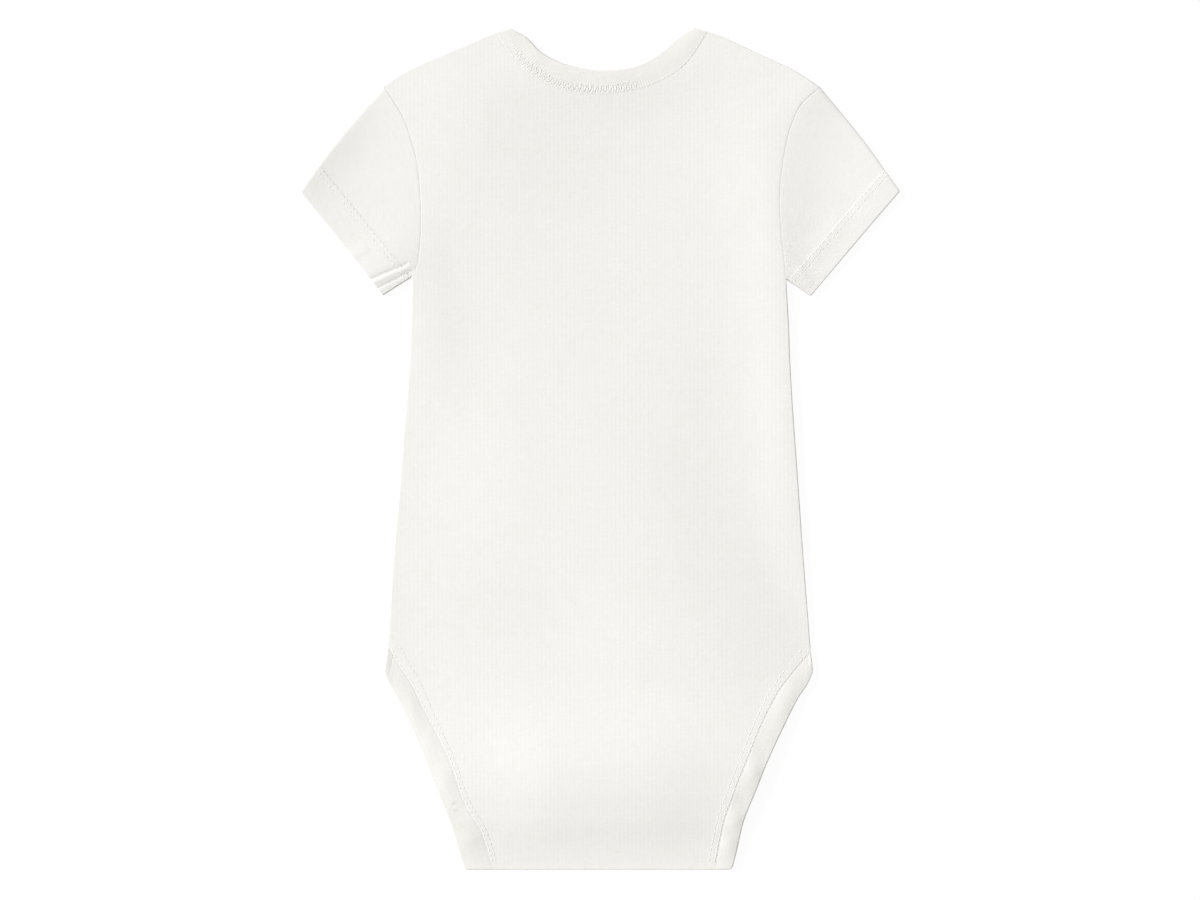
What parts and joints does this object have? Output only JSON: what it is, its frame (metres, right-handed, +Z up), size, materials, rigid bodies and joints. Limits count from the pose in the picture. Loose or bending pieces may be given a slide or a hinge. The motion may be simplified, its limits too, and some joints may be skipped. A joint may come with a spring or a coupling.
{
  "type": "baby bodysuit",
  "caption": "Short-sleeved baby bodysuit laid flat, back up: jersey panels and sleeves, ribbed neck and leg bands, snapped crotch folded under.",
  "frame": {"origin": "middle of the garment's outline, on the surface that it lies on", "axes": "+Z up from the surface; +Y from the crotch to the neck; +X to the wearer's right, which is to the right with the back up and the neck away"},
  "size_m": [0.3006, 0.4204, 0.0064],
  "materials": {
    "jersey": "fine cotton jersey with faint slub, matte",
    "rib": "fine one-by-one cotton rib, matte",
    "snap_metal": "satin nickel"
  },
  "bodies": {
    "root": {"back_panel": "jersey", "front_panel": "jersey", "sleeve_left": "jersey", "sleeve_right": "jersey", "neck_band": "rib", "leg_band_left": "rib", "leg_band_right": "rib", "snap_ring_1": "snap_metal", "snap_stud_1": "snap_metal", "snap_ring_2": "snap_metal", "snap_stud_2": "snap_metal", "snap_ring_3": "snap_metal", "snap_stud_3": "snap_metal"}
  },
  "joints": []
}
